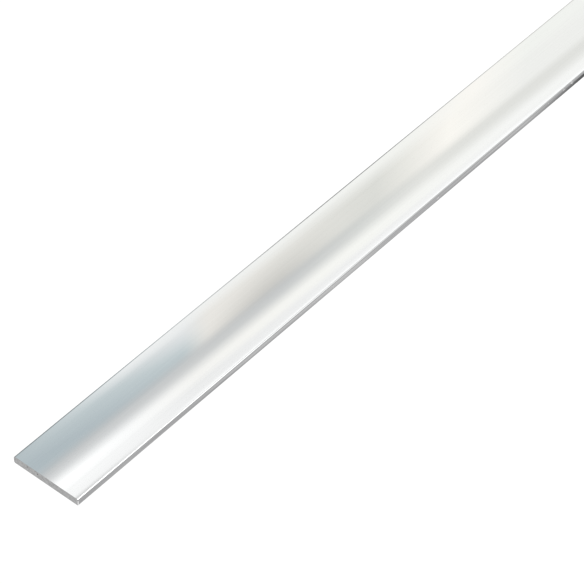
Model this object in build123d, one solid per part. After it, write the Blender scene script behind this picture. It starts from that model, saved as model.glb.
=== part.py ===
"""Aluminium flat bar: one length of extruded rectangular stock, lying on its wide face.

Sizes are in millimetres. X runs along the bar, Y across its width and Z up, and the origin is the middle of
the underside.
"""

import os

from build123d import *

# The section that comes out of the die
WIDTH = 20.0
THICKNESS = 2.0
EDGE_RADIUS = 0.5  # rounding of the four long edges

# The piece that is sawn from it
LENGTH = 1000.0
END_BREAK = 0.15  # bevel left where the saw's burr is filed off, all round each end

# Limits that keep a flat on every face: a rounding by the thickness, a bevel by the rounding it goes round
ROUNDING_LIMIT_SHARE = 0.45
BREAK_LIMIT_SHARE = 0.8

edge_radius = min(EDGE_RADIUS, ROUNDING_LIMIT_SHARE * THICKNESS)
end_break = min(END_BREAK, BREAK_LIMIT_SHARE * edge_radius)


def bar_section():
    """The die's opening: a rectangle standing on the floor line, with its corners rounded."""
    return RectangleRounded(WIDTH, THICKNESS, edge_radius, align=(Align.CENTER, Align.MIN))


def flat_bar():
    """The section drawn out to length, with both sawn ends deburred."""
    bar = extrude(Plane.YZ * bar_section(), amount=LENGTH / 2, both=True)
    sawn_ends = bar.faces().filter_by(Axis.X)
    return chamfer(sawn_ends.edges(), end_break)


os.makedirs("parts", exist_ok=True)
export_step(flat_bar(), "parts/flat_bar.step")
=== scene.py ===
"""Looks for one length of aluminium flat bar: its bright skin, its sawn ends and a white studio."""

import math
import random

import bmesh
import bpy
from bpy.props import FloatProperty, FloatVectorProperty, IntProperty, PointerProperty
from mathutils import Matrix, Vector


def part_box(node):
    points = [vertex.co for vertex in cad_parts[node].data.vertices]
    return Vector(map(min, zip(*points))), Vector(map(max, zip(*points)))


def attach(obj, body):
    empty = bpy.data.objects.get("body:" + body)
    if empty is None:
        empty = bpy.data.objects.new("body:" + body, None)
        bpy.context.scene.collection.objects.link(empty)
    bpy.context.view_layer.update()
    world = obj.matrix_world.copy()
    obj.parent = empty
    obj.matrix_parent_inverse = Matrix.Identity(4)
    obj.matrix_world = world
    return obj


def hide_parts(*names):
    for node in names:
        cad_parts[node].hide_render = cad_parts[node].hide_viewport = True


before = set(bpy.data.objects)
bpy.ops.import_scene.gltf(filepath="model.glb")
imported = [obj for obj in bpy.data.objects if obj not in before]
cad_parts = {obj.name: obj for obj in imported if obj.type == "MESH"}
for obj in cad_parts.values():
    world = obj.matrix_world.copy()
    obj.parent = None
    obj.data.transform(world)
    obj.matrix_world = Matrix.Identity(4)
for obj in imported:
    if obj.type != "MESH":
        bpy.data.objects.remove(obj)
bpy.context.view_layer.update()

bl_info = {
    "name": "Aluminium flat bar",
    "version": (1, 0, 0),
    "blender": (4, 5, 0),
    "location": "View3D > Sidebar > Flat bar",
    "description": "Finishes a length of extruded aluminium flat bar and sets it in a white studio",
    "category": "Object",
}

MM = 0.001
X, Y, Z = range(3)
NODE = "flat_bar"
BAR_LOW, BAR_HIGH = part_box(NODE)
BAR_SIZE = BAR_HIGH - BAR_LOW

# The near end, which the camera looks at, is the one at low X
NEAR_END, FAR_END = -1, 1

# The bar's finishes, in the order of its material slots
SKIN, SAWN, PIT_DARK, NICK = range(4)

# Sockets of a Mix node share their names, so they are told apart by number
MIX_SHARE, NUMBER_A, NUMBER_B, COLOUR_A, COLOUR_B = 0, 2, 3, 6, 7
MIXED_NUMBER, MIXED_COLOUR = 0, 2


def srgb(code):
    """Linear red, green and blue of an sRGB hex colour."""
    shares = [int(code[i:i + 2], 16) / 255 for i in (0, 2, 4)]
    return tuple(s / 12.92 if s <= 0.04045 else ((s + 0.055) / 1.055) ** 2.4 for s in shares)


def neutral(level):
    """Linear red, green and blue of a light without a tint, which may be brighter than white."""
    return (level,) * 3


def add_node(tree, kind, inputs=(), stops=(), **settings):
    """One shader node with its settings, its inputs, by name or in socket order, and a ramp's stops."""
    made = tree.nodes.new(kind)
    for name, value in settings.items():
        setattr(made, name, value)
    named = inputs.items() if isinstance(inputs, dict) else enumerate(inputs)
    for name, value in named:
        if isinstance(value, bpy.types.NodeSocket):
            tree.links.new(value, made.inputs[name])
        else:
            made.inputs[name].default_value = value
    for i, (place, colour) in enumerate(stops):
        ramp = made.color_ramp.elements
        stop = ramp[i] if i < len(ramp) else ramp.new(place)
        stop.position = place
        stop.color = (*colour, 1)
    return made


def new_material(name):
    """An empty node material and its tree."""
    material = bpy.data.materials.new(name)
    material.use_nodes = True
    material.node_tree.nodes.clear()
    return material, material.node_tree


def new_object(name, bm):
    """A scene object that holds the bmesh, at the origin and unturned."""
    mesh = bpy.data.meshes.new(name)
    bm.to_mesh(mesh)
    bm.free()
    made = bpy.data.objects.new(name, mesh)
    bpy.context.scene.collection.objects.link(made)
    return made


class FlatBarSettings(bpy.types.PropertyGroup):
    """Sizes and colours of the bar's finish."""

    edge_radius: FloatProperty(
        name="Edge radius", description="Rounding of the four long edges", default=0.5 * MM, unit="LENGTH",
        precision=5)
    end_break: FloatProperty(
        name="End bevel", description="Bevel where the saw's burr is filed off", default=0.15 * MM,
        unit="LENGTH", precision=5)
    saw_pitch: FloatProperty(
        name="Saw mark pitch", description="Distance from one saw mark to the next on the ends",
        default=0.6 * MM, unit="LENGTH", precision=5)
    saw_depth: FloatProperty(
        name="Saw mark depth", description="Depth of the deepest saw mark", default=0.02 * MM, unit="LENGTH",
        precision=6)
    saw_lean: FloatProperty(
        name="Saw mark lean", description="Lean of the saw marks from upright", default=math.radians(18),
        subtype="ANGLE")
    saw_seed: IntProperty(name="Saw mark seed", description="Which random set of saw marks is cut", default=3)
    skin_colour: FloatVectorProperty(
        name="Skin", description="Colour of the bright extruded skin", subtype="COLOR",
        default=srgb("F4F5F5"))
    sawn_colour: FloatVectorProperty(
        name="Sawn end", description="Colour of the bare sawn metal", subtype="COLOR",
        default=srgb("EAEAEA"))


class FlatBarStageSettings(bpy.types.PropertyGroup):
    """The camera's place and the studio's light."""

    camera_place: FloatVectorProperty(
        name="Camera place", description="From the near end's bottom corner on the near side to the camera",
        subtype="XYZ", unit="LENGTH", default=(-0.25797, -0.2803, 0.44724))
    camera_turn: FloatProperty(
        name="Camera turn", description="Where the camera stands round the bar, from the near side",
        subtype="ANGLE", default=math.radians(-49.758))
    camera_rise: FloatProperty(
        name="Camera rise", description="How far the camera looks down", subtype="ANGLE",
        default=math.radians(45.148))
    camera_lens: FloatProperty(
        name="Lens", description="Focal length for the sensor width", default=162.43,
        subtype="DISTANCE_CAMERA")
    left_power: FloatProperty(
        name="Left softbox", description="Power of the softbox that lights the sawn end", default=1.2,
        unit="POWER")


# Bar

# What the mesh needs and the eye doesn't see
ROUNDING_STEPS = 8
HOLDING_STRIP = 0.04 * MM
SHARP_ANGLE = math.radians(20)
TINY = 0.001 * MM

# How far a face has to point along X to be bare metal, or one of the sawn faces, and along Y to be on a side
BARE_SLOPE = 0.5
END_SLOPE = 0.99
SIDE_SLOPE = 0.1

# Saw marks are shallow and deep by turns, in shares of the full depth
SHALLOW_SHARES, DEEP_SHARES = (0, 0.3), (0.5, 1)

# Small marks that the bar has picked up, each a point on its surface and a share of the full size: nicks
# along the near side, and pits that the saw tore in the near end
SIDE_NICKS = [
    (Vector((BAR_LOW.x + along * MM, BAR_LOW.y, height * MM)), share)
    for along, height, share in (
        (88.6, 1.0, 0.7), (129.2, 1.1, 1.0), (175.2, 1.45, 0.6), (182.0, 1.6, 0.9), (185.5, 1.7, 1.1))]
NICK_REACH = Vector((0.55, 0, 0.36)) * MM
NICK_DEPTH = 0.12 * MM
END_PITS = [
    (Vector((BAR_LOW.x, across * MM, height * MM)), share)
    for across, height, share in ((2.5, 1.5, 1.0), (5.6, 1.6, 0.75))]
PIT_REACH = Vector((0, 0.24, 0.2)) * MM
PIT_DEPTH = 0.4 * MM


def bar_blank(bm):
    """A block of the bar's full size, where the CAD bar lies."""
    bmesh.ops.create_cube(bm, size=1)
    bmesh.ops.scale(bm, vec=BAR_SIZE, verts=bm.verts)
    bmesh.ops.translate(bm, vec=(BAR_LOW + BAR_HIGH) / 2, verts=bm.verts)


def round_long_edges(bm, radius):
    """The die's rounding on each edge that runs along the bar."""
    along = [e for e in bm.edges if abs(e.verts[0].co.x - e.verts[1].co.x) > TINY]
    bmesh.ops.bevel(
        bm, geom=along, offset=radius, affect="EDGES", segments=ROUNDING_STEPS, profile=0.5, material=-1)


def file_end_edges(bm, size):
    """The bevel that the file leaves all round each end."""
    ends = [e for e in bm.edges if abs(e.verts[0].co.x - e.verts[1].co.x) < TINY]
    bmesh.ops.bevel(bm, geom=ends, offset=size, affect="EDGES", segments=1, profile=0.5, material=-1)


def cut_faces(bm, faces, place, normal):
    """Cut faces along a plane, and give the vertices that lie on the cut."""
    rims = dict.fromkeys(part for f in faces for part in (*f.verts, *f.edges))
    cut = bmesh.ops.bisect_plane(bm, geom=[*rims, *faces], dist=TINY, plane_co=place, plane_no=normal)
    return [part for part in cut["geom_cut"] if isinstance(part, bmesh.types.BMVert)]


def hold_flats(bm, radius):
    """A narrow flat strip beside each rounding, so that smooth shading doesn't bend the flats."""
    inner = radius + HOLDING_STRIP
    for axis in (Y, Z):
        normal = Vector.Fill(3)
        normal[axis] = 1
        for place in (BAR_LOW[axis] + inner, BAR_HIGH[axis] - inner):
            cut_faces(bm, bm.faces[:], normal * place, normal)


def end_faces(bm, end):
    """The faces of one sawn end."""
    return [f for f in bm.faces if f.normal.x * end > END_SLOPE]


def near_end_faces(bm):
    """The faces of the sawn end that the camera looks at."""
    return end_faces(bm, NEAR_END)


def near_side_faces(bm):
    """The faces of the near side, with both its roundings."""
    return [f for f in bm.faces if f.normal.y < -SIDE_SLOPE and abs(f.normal.x) < SIDE_SLOPE]


def saw_end(bm, end, settings):
    """Straight marks across one end, where the blade's teeth went through: strips of uneven depth."""
    draw = random.Random(settings.saw_seed + end)
    across = Vector((0, math.cos(settings.saw_lean), math.sin(settings.saw_lean)))
    reach = BAR_SIZE.y / 2 + BAR_SIZE.z
    step = settings.saw_pitch / 2
    depths = {}
    for i in range(int(2 * reach / step)):
        marks = cut_faces(bm, end_faces(bm, end), across * (i * step - reach), across)
        depth = settings.saw_depth * draw.uniform(*(DEEP_SHARES if i % 2 else SHALLOW_SHARES))
        depths.update(dict.fromkeys(marks, depth))
    for v, depth in depths.items():
        v.co.x -= end * depth


def bare_ends(bm):
    """The sawn ends and their filed bevels, which are bare metal."""
    for f in bm.faces:
        f.material_index = SAWN if abs(f.normal.x) > BARE_SLOPE else SKIN


def knock_in(bm, flank, axis, place, reach, depth, finish):
    """A small diamond-shaped hollow in a flank: four planes cut its rim, and its middle is driven in."""
    for side in (-1, 1):
        for rise in (-1, 1):
            rim, corner = Vector.Fill(3), place.copy()
            rim[axis], rim.z = side / reach[axis], rise / reach.z
            corner[axis] += side * reach[axis]
            cut_faces(bm, flank(bm), corner, rim.normalized())
    inside = []
    for f in flank(bm):
        off = f.calc_center_median() - place
        if abs(off[axis]) / reach[axis] + abs(off.z) / reach.z < 1:
            inside.append(f)
    whole = bmesh.utils.face_join(inside) if len(inside) > 1 else inside[0]
    for f in bmesh.ops.poke(bm, faces=[whole], offset=-depth, center_mode="MEAN")["faces"]:
        f.material_index = finish
    bm.normal_update()


def shade(bm):
    """Smooth over the roundings, sharp at the sawn ends, the pits and the nicks."""
    bm.normal_update()
    for f in bm.faces:
        f.smooth = True
    for e in bm.edges:
        e.smooth = e.calc_face_angle(0) < SHARP_ANGLE
    for end in (NEAR_END, FAR_END):
        for f in end_faces(bm, end):
            f.smooth = False


# Finishes

# Most values of a noise pattern lie in this span
NOISE_SPAN = (0.3, 0.7)

# The die's lines along the skin, drawn wider than real ones so that they show
LINE_WIDTH, LINE_STRETCH, LINE_DEPTH = 0.5 * MM, 120, 0.0001 * MM
LINE_SHADE = srgb("F1F2F2")
SKIN_ROUGHNESS = (0.025, 0.04)

# The narrow sides: rubbed patches, with painted shade in their darker colours, and how far out from the bar's
# middle they start and are full
RUB_WIDTH, RUB_STRETCH = 0.9 * MM, 60
RUB_AND_SHADE_COLOURS = [(0.36, srgb("C6C6C8")), (0.5, srgb("E2E2E3")), (0.64, srgb("F8F8F8"))]
RUB_ROUGHNESS = (0.12, 0.24)
RUB_ENDS = (BAR_HIGH.y - 0.15 * MM, BAR_HIGH.y - 0.02 * MM)

# The torn grit of the sawn faces, and how far out from the middle the smoother filed bevels give way to it
TEAR_SIZE, TEAR_DEPTH = 0.7 * MM, 0.02 * MM
TEAR_SPAN = (0.35, 0.65)
TEAR_SHADE = srgb("D4D4D4")
SAWN_ROUGHNESS = (0.38, 0.5)
FILED_ROUGHNESS = 0.2
SAWN_ENDS = (BAR_HIGH.x - 0.05 * MM, BAR_HIGH.x - 0.03 * MM)

# The dark colour in the pits and the fresh metal in the nicks
PIT_GRAIN, PIT_ROUGHNESS = 0.08 * MM, 0.7
PIT_COLOURS = [(0.4, srgb("6C6C6E")), (0.7, srgb("9C9C9E"))]
FRESH_GRAIN, FRESH_ROUGHNESS = 0.1 * MM, 0.6
FRESH_COLOURS = [(0.35, srgb("F4F4F4")), (0.65, srgb("FDFDFD"))]


def bright_skin(settings):
    """Extruded aluminium, bright: close to a mirror, with faint lines along it and duller, patchy sides,
    partly painted shade.
    """
    material, tree = new_material("extruded_aluminium_bright")
    place = add_node(tree, "ShaderNodeTexCoord").outputs["Object"]
    drawn = add_node(
        tree, "ShaderNodeMapping", {"Vector": place, "Scale": (1 / LINE_STRETCH, 1, 1)}).outputs["Vector"]
    lines = add_node(
        tree, "ShaderNodeTexNoise",
        {"Vector": drawn, "Scale": 1 / LINE_WIDTH, "Detail": 3, "Roughness": 0.6}).outputs["Fac"]
    bump = add_node(
        tree, "ShaderNodeBump", {"Height": lines, "Strength": 1, "Distance": LINE_DEPTH}).outputs["Normal"]
    smeared = add_node(
        tree, "ShaderNodeMapping", {"Vector": place, "Scale": (1 / RUB_STRETCH, 1, 1)}).outputs["Vector"]
    rubs = add_node(
        tree, "ShaderNodeTexNoise",
        {"Vector": smeared, "Scale": 1 / RUB_WIDTH, "Detail": 4, "Roughness": 0.65}).outputs["Fac"]
    out = add_node(tree, "ShaderNodeSeparateXYZ", [place]).outputs["Y"]
    out = add_node(tree, "ShaderNodeMath", [out], operation="ABSOLUTE").outputs["Value"]
    side = add_node(
        tree, "ShaderNodeMapRange", [out, *RUB_ENDS], interpolation_type="SMOOTHSTEP").outputs["Result"]
    # Rubbed patches on the narrow sides, their darker colours partly painted shade
    dull_and_shaded = add_node(tree, "ShaderNodeValToRGB", [rubs], RUB_AND_SHADE_COLOURS).outputs["Color"]
    streaks = add_node(
        tree, "ShaderNodeValToRGB", [lines],
        zip(NOISE_SPAN, (LINE_SHADE, settings.skin_colour))).outputs["Color"]
    colour = add_node(
        tree, "ShaderNodeMix", {MIX_SHARE: side, COLOUR_A: streaks, COLOUR_B: dull_and_shaded},
        data_type="RGBA").outputs[MIXED_COLOUR]
    fine = add_node(tree, "ShaderNodeMapRange", [lines, *NOISE_SPAN, *SKIN_ROUGHNESS]).outputs["Result"]
    coarse = add_node(tree, "ShaderNodeMapRange", [rubs, *NOISE_SPAN, *RUB_ROUGHNESS]).outputs["Result"]
    rough = add_node(
        tree, "ShaderNodeMix", {MIX_SHARE: side, NUMBER_A: fine, NUMBER_B: coarse},
        data_type="FLOAT").outputs[MIXED_NUMBER]
    skin = add_node(
        tree, "ShaderNodeBsdfPrincipled",
        {"Base Color": colour, "Metallic": 1, "Roughness": rough, "Normal": bump}).outputs["BSDF"]
    add_node(tree, "ShaderNodeOutputMaterial", {"Surface": skin})
    return material


def sawn_metal(settings):
    """Aluminium, sawn: bare, matt and a little uneven where the teeth tore it, brighter where it is filed."""
    material, tree = new_material("sawn_aluminium")
    place = add_node(tree, "ShaderNodeTexCoord").outputs["Object"]
    grit = add_node(
        tree, "ShaderNodeTexNoise", {"Vector": place, "Scale": 1 / TEAR_SIZE, "Detail": 4}).outputs["Fac"]
    bump = add_node(
        tree, "ShaderNodeBump", {"Height": grit, "Strength": 1, "Distance": TEAR_DEPTH}).outputs["Normal"]
    rough = add_node(tree, "ShaderNodeMapRange", [grit, *NOISE_SPAN, *SAWN_ROUGHNESS]).outputs["Result"]
    out = add_node(tree, "ShaderNodeSeparateXYZ", [place]).outputs["X"]
    out = add_node(tree, "ShaderNodeMath", [out], operation="ABSOLUTE").outputs["Value"]
    sawn = add_node(tree, "ShaderNodeMapRange", [out, *SAWN_ENDS]).outputs["Result"]
    rough = add_node(
        tree, "ShaderNodeMix", {MIX_SHARE: sawn, NUMBER_A: FILED_ROUGHNESS, NUMBER_B: rough},
        data_type="FLOAT").outputs[MIXED_NUMBER]
    colour = add_node(
        tree, "ShaderNodeValToRGB", [grit],
        zip(TEAR_SPAN, (TEAR_SHADE, settings.sawn_colour))).outputs["Color"]
    cut = add_node(
        tree, "ShaderNodeBsdfPrincipled",
        {"Base Color": colour, "Metallic": 1, "Roughness": rough, "Normal": bump}).outputs["BSDF"]
    add_node(tree, "ShaderNodeOutputMaterial", {"Surface": cut})
    return material


def dark_pit_colour():
    """Dark and matt in the saw's pits, with paler specks."""
    material, tree = new_material("dark_pit_colour")
    place = add_node(tree, "ShaderNodeTexCoord").outputs["Object"]
    grains = add_node(
        tree, "ShaderNodeTexNoise", {"Vector": place, "Scale": 1 / PIT_GRAIN, "Detail": 2}).outputs["Fac"]
    colour = add_node(tree, "ShaderNodeValToRGB", [grains], PIT_COLOURS).outputs["Color"]
    dark_pit = add_node(
        tree, "ShaderNodeBsdfPrincipled", {"Base Color": colour, "Roughness": PIT_ROUGHNESS}).outputs["BSDF"]
    add_node(tree, "ShaderNodeOutputMaterial", {"Surface": dark_pit})
    return material


def nicked_metal():
    """Aluminium, nicked: fresh metal laid bare by a knock, matt and paler than the side round it."""
    material, tree = new_material("nicked_aluminium")
    place = add_node(tree, "ShaderNodeTexCoord").outputs["Object"]
    grain = add_node(
        tree, "ShaderNodeTexNoise", {"Vector": place, "Scale": 1 / FRESH_GRAIN, "Detail": 2}).outputs["Fac"]
    colour = add_node(tree, "ShaderNodeValToRGB", [grain], FRESH_COLOURS).outputs["Color"]
    fresh = add_node(
        tree, "ShaderNodeBsdfPrincipled",
        {"Base Color": colour, "Metallic": 1, "Roughness": FRESH_ROUGHNESS}).outputs["BSDF"]
    add_node(tree, "ShaderNodeOutputMaterial", {"Surface": fresh})
    return material


class FLATBAR_OT_bar(bpy.types.Operator):
    """Model the finished bar in the place of the CAD bar"""

    bl_idname = "flatbar.bar"
    bl_label = "Bar"

    def execute(self, context):
        settings = context.scene.flat_bar
        bm = bmesh.new()
        bar_blank(bm)
        round_long_edges(bm, settings.edge_radius)
        file_end_edges(bm, settings.end_break)
        hold_flats(bm, settings.edge_radius)
        for end in (NEAR_END, FAR_END):
            saw_end(bm, end, settings)
        bm.normal_update()
        bare_ends(bm)
        for place, share in END_PITS:
            knock_in(bm, near_end_faces, Y, place, PIT_REACH * share, PIT_DEPTH * share, PIT_DARK)
        for place, share in SIDE_NICKS:
            knock_in(bm, near_side_faces, X, place, NICK_REACH * share, NICK_DEPTH * share, NICK)
        shade(bm)
        bar = new_object("bar", bm)
        for finish in (bright_skin(settings), sawn_metal(settings), dark_pit_colour(), nicked_metal()):
            bar.data.materials.append(finish)
        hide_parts(NODE)
        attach(bar, "root")
        return {"FINISHED"}


# Stage

# The floor is a board that the camera sees as clear white. The bar mirrors it as grey, a little darker close
# by, where it also falls off into dusk along the bar. The thin gap at the bar's foot is dark.
FLOOR_REACH = 20.0
SEEN_WHITE = 1.06
FLOOR_GREY = 0.6
FLOOR_SHADE = 0.53
SHADE_ENDS = (11 * MM, 14 * MM)
DUSK_ALONG = (-0.333, -0.306)
DUSK_SHADE = 0.18
CONTACT_REACH = 0.1 * MM

# The light panel stands behind the bar, where the top face mirrors it to the camera. It is a pale wall with a
# white softbox above. Places along it are in metres of X, and heights in metres of Z.
PANEL_BEHIND = 130 * MM
PANEL_TOP = 222.5 * MM
PANEL_ALONG = (-0.44, 0.7)
PANEL_STRENGTH = 1.1

# Its light fades towards the far end
FADE_ALONG = (0.0, 0.35)
FADE_SHADE = 0.45

# The stretch that the colours along it, here and in the bands, are spread over
SPREAD_ALONG = (-0.43, -0.1)

# The wall is blue at the near end, paler past a leaning line, and turns warm from there on
BLUE_LEAN = -4.0
BLUE_ALONG = (-1.145, -1.065)
BLUE_COLOURS = [(0, srgb("B0BBC0")), (0.55, srgb("C1CBCE")), (1, srgb("E4E6E7"))]
WARM_STARTS = (-0.319, -0.303)
WARM_COLOURS = [
    (0.38, srgb("EAE7E2")), (0.65, srgb("DCDCD7")), (0.78, srgb("FCF9F3")), (0.92, srgb("F0F0ED"))]

# A dim patch on the wall
PATCH_PLACE = (-0.275, PANEL_BEHIND, 0.204)
PATCH_SIZE = (0.045, 1, 0.02)
PATCH_SHADE = 0.74

# Bands over the wall, from low to high: a paler edge, a grey seam, the softbox and its dimmer rim. They lie a
# little askew. Each has its colours along the panel, and its share of the light over the bands' rise.
BAND_SLOPE = -0.028
BAND_RISE = (0.15, 0.25)
EDGE_COLOURS = [
    (0.1, srgb("AEB9BD")), (0.19, srgb("D4DBDD")), (0.26, srgb("F4F5F5")), (0.7, srgb("F5F5F1")),
    (0.82, srgb("FCF9F4")), (0.92, srgb("F3F4F0"))]
EDGE_SHARE = [(0.39, neutral(1)), (0.46, neutral(0))]
SEAM_COLOURS = [(0.5, srgb("C0C2C3")), (0.62, srgb("CDCFCD")), (0.74, srgb("DEDEDA"))]
SEAM_SHARE = [(0.56, neutral(0)), (0.61, neutral(1))]
SOFTBOX_WHITES = [
    (0.16, neutral(1.1)), (0.25, neutral(1)), (0.36, srgb("F7F6F3")), (0.45, srgb("F8F7F3")),
    (0.65, srgb("F9F9F5")), (0.9, srgb("F7F7F5"))]
SOFTBOX_SHARE = [(0.595, neutral(0)), (0.645, neutral(0.23)), (0.7, neutral(1))]
RIM_WHITES = [
    (0.18, neutral(0.96)), (0.27, neutral(0.925)), (0.36, neutral(0.84)), (0.6, neutral(0.86)),
    (0.85, neutral(0.89))]
RIM_SHARE = [(0.729, neutral(0)), (0.756, neutral(1))]

# Shade at the panel's foot, which the rounding of the far edge mirrors
FOOT_ENDS = (0.150, 0.168)
FOOT_SHADES = [
    (0.06, neutral(0.5)), (0.18, neutral(0.8)), (0.3, neutral(0.55)), (0.46, neutral(0.2)),
    (0.66, neutral(0.7))]

# A card above the panel, which the rounding of the near edge mirrors as a thin line: grey at the near end,
# then white, and fading further on
CARD_TOP = 360 * MM
CARD_WAY = (1, 0, 0.3)
CARD_ENDS = (-0.31, 0.39)
CARD_GREYS = [(0, neutral(0.54)), (0.1, neutral(1.2)), (0.55, neutral(1.2)), (1, neutral(0.5))]

# A softbox that slopes over the front, which the same rounding mirrors as a white strip. It is strong at the
# near end and weaker along the bar.
FRONT_CORNERS = [(-0.35, -0.03, 0.6), (0.45, -0.03, 0.6), (0.45, -0.2, 0.5575), (-0.35, -0.6, 0.4575)]
FRONT_WAY = (1, 0, 0)
FRONT_ENDS = (-0.23, 0.25)
FRONT_GREYS = [(0, neutral(2.3)), (0.6, neutral(0.6)), (0.78, neutral(0.74)), (0.93, neutral(0.42))]

# A large weak softbox on the left, which gives the sawn end its modelling
LEFT_PLACE = (-1.3, -1.3, 0.7)
LEFT_SIZE = (1.4, 1.2)

# A scrap of white card on the floor, which the bevel down the near corner mirrors
SCRAP_SIZE = 2.5 * MM
SCRAP_STRENGTH = 1.1

# The room's greys from low to high, and how much they change from the near end's side to the far end's
ROOM_WHITE = (*neutral(1), 1)
ROOM_RISE = (0.45, 0.95)
ROOM_GREYS = (0.47, 0.7)
ROOM_ALONG = (-0.8, 0.8)
ROOM_SHARES = (1.1, 0.88)

CAMERA_CLIP = (0.01, 100)


def make_floor():
    """A pale board that the camera sees as white."""
    bm = bmesh.new()
    bmesh.ops.create_grid(bm, x_segments=1, y_segments=1, size=FLOOR_REACH)
    floor = new_object("floor", bm)
    material, tree = new_material("white_board")
    place = add_node(tree, "ShaderNodeTexCoord").outputs["Object"]
    spot = add_node(tree, "ShaderNodeSeparateXYZ", [place]).outputs
    dusk = add_node(
        tree, "ShaderNodeMapRange",
        [spot["X"], *DUSK_ALONG, FLOOR_SHADE, FLOOR_SHADE * DUSK_SHADE]).outputs["Result"]
    out = add_node(tree, "ShaderNodeMath", [spot["Y"]], operation="ABSOLUTE").outputs["Value"]
    grey = add_node(tree, "ShaderNodeMapRange", [out, *SHADE_ENDS, dusk, FLOOR_GREY]).outputs["Result"]
    seen = add_node(tree, "ShaderNodeLightPath").outputs["Is Camera Ray"]
    light = add_node(
        tree, "ShaderNodeMix", {MIX_SHARE: seen, NUMBER_A: grey, NUMBER_B: SEEN_WHITE},
        data_type="FLOAT").outputs[MIXED_NUMBER]
    clear = add_node(tree, "ShaderNodeAmbientOcclusion", {"Distance": CONTACT_REACH}).outputs["AO"]
    light = add_node(tree, "ShaderNodeMath", [light, clear], operation="MULTIPLY").outputs["Value"]
    board = add_node(tree, "ShaderNodeEmission", {"Strength": light}).outputs["Emission"]
    add_node(tree, "ShaderNodeOutputMaterial", {"Surface": board})
    floor.data.materials.append(material)


def panel_glow():
    """The light panel's colours, from where a point lies on it."""
    material, tree = new_material("graded_light_panel")
    place = add_node(tree, "ShaderNodeTexCoord").outputs["Object"]
    spot = add_node(tree, "ShaderNodeSeparateXYZ", [place]).outputs
    along = add_node(tree, "ShaderNodeMapRange", [spot["X"], *SPREAD_ALONG]).outputs["Result"]
    lean = add_node(
        tree, "ShaderNodeMath", [spot["Z"], BLUE_LEAN, spot["X"]], operation="MULTIPLY_ADD").outputs["Value"]
    lean = add_node(tree, "ShaderNodeMapRange", [lean, *BLUE_ALONG]).outputs["Result"]
    askew = add_node(
        tree, "ShaderNodeMath", [spot["X"], BAND_SLOPE, spot["Z"]], operation="MULTIPLY_ADD").outputs["Value"]
    rise = add_node(tree, "ShaderNodeMapRange", [askew, *BAND_RISE]).outputs["Result"]
    blue = add_node(tree, "ShaderNodeValToRGB", [lean], BLUE_COLOURS).outputs["Color"]
    warm = add_node(tree, "ShaderNodeValToRGB", [along], WARM_COLOURS).outputs["Color"]
    warm_share = add_node(
        tree, "ShaderNodeMapRange", [spot["X"], *WARM_STARTS],
        interpolation_type="SMOOTHSTEP").outputs["Result"]
    colour = add_node(
        tree, "ShaderNodeMix", {MIX_SHARE: warm_share, COLOUR_A: blue, COLOUR_B: warm},
        data_type="RGBA").outputs[MIXED_COLOUR]
    patch = add_node(
        tree, "ShaderNodeMapping", {"Vector": place, "Location": PATCH_PLACE, "Scale": PATCH_SIZE},
        vector_type="TEXTURE").outputs["Vector"]
    patch = add_node(tree, "ShaderNodeVectorMath", [patch], operation="LENGTH").outputs["Value"]
    patch = add_node(
        tree, "ShaderNodeMapRange", {"Value": patch, "To Min": PATCH_SHADE},
        interpolation_type="SMOOTHSTEP").outputs["Result"]
    colour = add_node(
        tree, "ShaderNodeVectorMath", {0: colour, "Scale": patch}, operation="SCALE").outputs["Vector"]
    for stops, share_stops in (
            (EDGE_COLOURS, EDGE_SHARE), (SEAM_COLOURS, SEAM_SHARE), (SOFTBOX_WHITES, SOFTBOX_SHARE),
            (RIM_WHITES, RIM_SHARE)):
        band = add_node(tree, "ShaderNodeValToRGB", [along], stops).outputs["Color"]
        share = add_node(tree, "ShaderNodeValToRGB", [rise], share_stops).outputs["Color"]
        colour = add_node(
            tree, "ShaderNodeMix", {MIX_SHARE: share, COLOUR_A: colour, COLOUR_B: band},
            data_type="RGBA").outputs[MIXED_COLOUR]
    foot = add_node(tree, "ShaderNodeValToRGB", [along], FOOT_SHADES).outputs["Color"]
    strength = add_node(
        tree, "ShaderNodeMapRange", [spot["Z"], *FOOT_ENDS, foot],
        interpolation_type="SMOOTHSTEP").outputs["Result"]
    fade = add_node(
        tree, "ShaderNodeMapRange",
        [spot["X"], *FADE_ALONG, PANEL_STRENGTH, PANEL_STRENGTH * FADE_SHADE]).outputs["Result"]
    strength = add_node(tree, "ShaderNodeMath", [strength, fade], operation="MULTIPLY").outputs["Value"]
    glow = add_node(tree, "ShaderNodeEmission", {"Color": colour, "Strength": strength}).outputs["Emission"]
    add_node(tree, "ShaderNodeOutputMaterial", {"Surface": glow})
    return material


def graded_glow(name, way, ends, greys):
    """White light whose strength changes along one direction."""
    material, tree = new_material(name)
    place = add_node(tree, "ShaderNodeTexCoord").outputs["Object"]
    along = add_node(tree, "ShaderNodeVectorMath", [place, way], operation="DOT_PRODUCT").outputs["Value"]
    along = add_node(tree, "ShaderNodeMapRange", [along, *ends]).outputs["Result"]
    grey = add_node(tree, "ShaderNodeValToRGB", [along], greys).outputs["Color"]
    glow = add_node(tree, "ShaderNodeEmission", {"Color": grey}).outputs["Emission"]
    add_node(tree, "ShaderNodeOutputMaterial", {"Surface": glow})
    return material


def plain_glow(name, strength):
    """White light of one strength."""
    material, tree = new_material(name)
    glow = add_node(tree, "ShaderNodeEmission", {"Strength": strength}).outputs["Emission"]
    add_node(tree, "ShaderNodeOutputMaterial", {"Surface": glow})
    return material


def upright(low, high):
    """Corners of a panel that stands behind the bar, from one height to another."""
    start, stop = PANEL_ALONG
    return [(x, PANEL_BEHIND, z) for x, z in ((start, low), (stop, low), (stop, high), (start, high))]


def by_corner():
    """Corners of a card on the floor that touches the bar's near corner."""
    x, y, size = BAR_LOW.x, BAR_LOW.y, SCRAP_SIZE
    return [(x - size, y - size, TINY), (x, y - size, TINY), (x, y, TINY), (x - size, y, TINY)]


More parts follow.
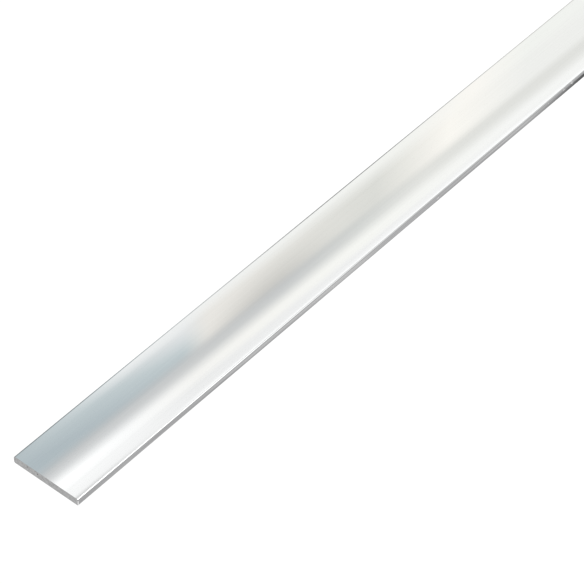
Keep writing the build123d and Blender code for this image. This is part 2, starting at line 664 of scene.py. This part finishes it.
def make_panel(name, corners, material):
    """A glowing panel that gloss shows and the camera doesn't see."""
    bm = bmesh.new()
    bm.faces.new([bm.verts.new(corner) for corner in corners])
    panel = new_object(name, bm)
    panel.data.materials.append(material)
    panel.visible_camera = False
    panel.visible_shadow = False


def make_left_softbox(settings):
    """A rectangular softbox that faces the near end."""
    light = bpy.data.lights.new("left_softbox", "AREA")
    light.shape = "RECTANGLE"
    light.size, light.size_y = LEFT_SIZE
    light.energy = settings.left_power
    lamp = bpy.data.objects.new("left_softbox", light)
    lamp.location = LEFT_PLACE
    near_end = Vector((BAR_LOW.x, 0, 0))
    lamp.rotation_euler = (near_end - Vector(LEFT_PLACE)).to_track_quat("-Z", "Y").to_euler()
    lamp.visible_camera = False
    bpy.context.scene.collection.objects.link(lamp)


def make_world():
    """A soft grey room, darker towards the floor, which the camera sees as white."""
    world = bpy.data.worlds.new("studio")
    bpy.context.scene.world = world
    world.use_nodes = True
    tree = world.node_tree
    tree.nodes.clear()
    way = add_node(tree, "ShaderNodeTexCoord").outputs["Generated"]
    way = add_node(tree, "ShaderNodeSeparateXYZ", [way]).outputs
    room = add_node(tree, "ShaderNodeMapRange", [way["Z"], *ROOM_RISE, *ROOM_GREYS]).outputs["Result"]
    turn = add_node(tree, "ShaderNodeMapRange", [way["X"], *ROOM_ALONG, *ROOM_SHARES]).outputs["Result"]
    room = add_node(tree, "ShaderNodeMath", [room, turn], operation="MULTIPLY").outputs["Value"]
    grey = add_node(
        tree, "ShaderNodeBackground", {"Color": ROOM_WHITE, "Strength": room}).outputs["Background"]
    white = add_node(
        tree, "ShaderNodeBackground", {"Color": ROOM_WHITE, "Strength": SEEN_WHITE}).outputs["Background"]
    seen = add_node(tree, "ShaderNodeLightPath").outputs["Is Camera Ray"]
    both = add_node(tree, "ShaderNodeMixShader", [seen, grey, white]).outputs["Shader"]
    add_node(tree, "ShaderNodeOutputWorld", {"Surface": both})


def make_camera(settings):
    """The photograph's camera, looking down on the near end."""
    data = bpy.data.cameras.new("camera")
    data.lens = settings.camera_lens
    data.clip_start, data.clip_end = CAMERA_CLIP
    camera = bpy.data.objects.new("camera", data)
    camera.location = BAR_LOW + Vector(settings.camera_place)
    camera.rotation_euler = (math.pi / 2 - settings.camera_rise, 0, settings.camera_turn)
    bpy.context.scene.collection.objects.link(camera)
    bpy.context.scene.camera = camera


class FLATBAR_OT_stage(bpy.types.Operator):
    """Set the floor, the lights and the camera"""

    bl_idname = "flatbar.stage"
    bl_label = "Studio"

    def execute(self, context):
        make_floor()
        make_panel("light_panel", upright(0, PANEL_TOP), panel_glow())
        card = graded_glow("grey_card", CARD_WAY, CARD_ENDS, CARD_GREYS)
        make_panel("card", upright(PANEL_TOP, CARD_TOP), card)
        front = graded_glow("front_softbox", FRONT_WAY, FRONT_ENDS, FRONT_GREYS)
        make_panel("front", FRONT_CORNERS, front)
        make_panel("scrap", by_corner(), plain_glow("white_card", SCRAP_STRENGTH))
        make_world()
        make_left_softbox(context.scene.flat_bar_stage)
        make_camera(context.scene.flat_bar_stage)
        context.scene.view_settings.view_transform = "Standard"
        return {"FINISHED"}


class FLATBAR_PT_panel(bpy.types.Panel):
    """Sidebar buttons"""

    bl_idname = "FLATBAR_PT_panel"
    bl_label = "Flat bar"
    bl_space_type = "VIEW_3D"
    bl_region_type = "UI"
    bl_category = "Flat bar"

    def draw(self, context):
        for settings, operator in (
                (context.scene.flat_bar, FLATBAR_OT_bar), (context.scene.flat_bar_stage, FLATBAR_OT_stage)):
            box = self.layout.box()
            for name in settings.__annotations__:
                box.prop(settings, name)
            box.operator(operator.bl_idname)


CLASSES = (FlatBarSettings, FlatBarStageSettings, FLATBAR_OT_bar, FLATBAR_OT_stage, FLATBAR_PT_panel)


def register():
    for cls in CLASSES:
        bpy.utils.register_class(cls)
    bpy.types.Scene.flat_bar = PointerProperty(type=FlatBarSettings)
    bpy.types.Scene.flat_bar_stage = PointerProperty(type=FlatBarStageSettings)


def unregister():
    del bpy.types.Scene.flat_bar_stage
    del bpy.types.Scene.flat_bar
    for cls in reversed(CLASSES):
        bpy.utils.unregister_class(cls)


def main():
    register()
    bpy.ops.flatbar.bar()
    bpy.ops.flatbar.stage()


if __name__ == "__main__":
    main()
